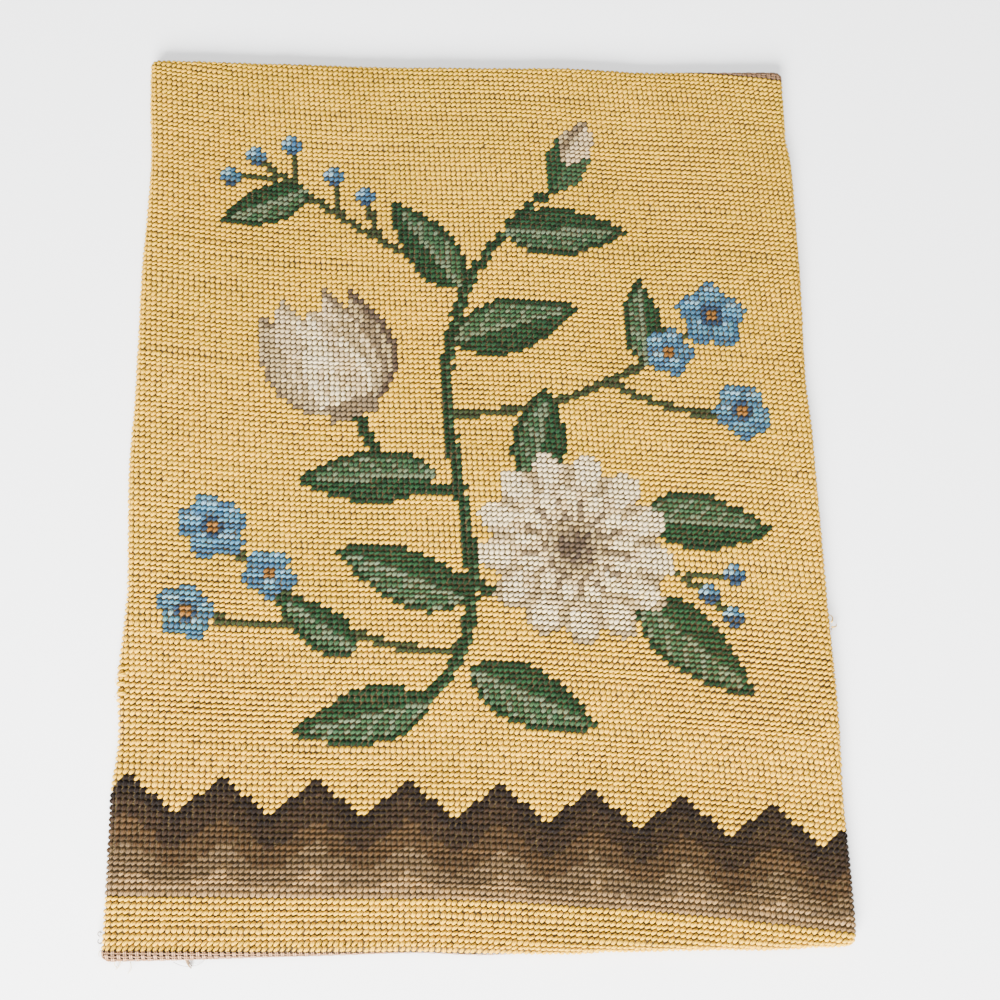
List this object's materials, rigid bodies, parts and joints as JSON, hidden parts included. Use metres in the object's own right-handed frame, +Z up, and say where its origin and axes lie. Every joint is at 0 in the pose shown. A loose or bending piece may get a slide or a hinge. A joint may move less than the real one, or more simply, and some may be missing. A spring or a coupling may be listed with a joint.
{
  "type": "needlepoint canvas panel",
  "caption": "Rectangular needlepoint panel worked all over in wool tent stitch, lying face up with its bare canvas margins turned under.",
  "frame": {"origin": "on the surface that the panel lies on, under the middle of its outline", "axes": "+Z up out of the worked face, +Y along the length towards the top of the design, +X to the right of the design"},
  "size_m": [0.326, 0.4343, 0.0062],
  "materials": {
    "gold_wool": "matt wool, plump slanting stitches",
    "cream_wool": "matt wool, plump slanting stitches",
    "green_wool": "matt wool, plump slanting stitches",
    "blue_wool": "matt wool, plump slanting stitches",
    "brown_wool": "matt wool, plump slanting stitches",
    "bare_canvas": "stiff open cotton weave"
  },
  "bodies": {
    "root": {"stitched_canvas": "gold_wool"}
  },
  "joints": []
}
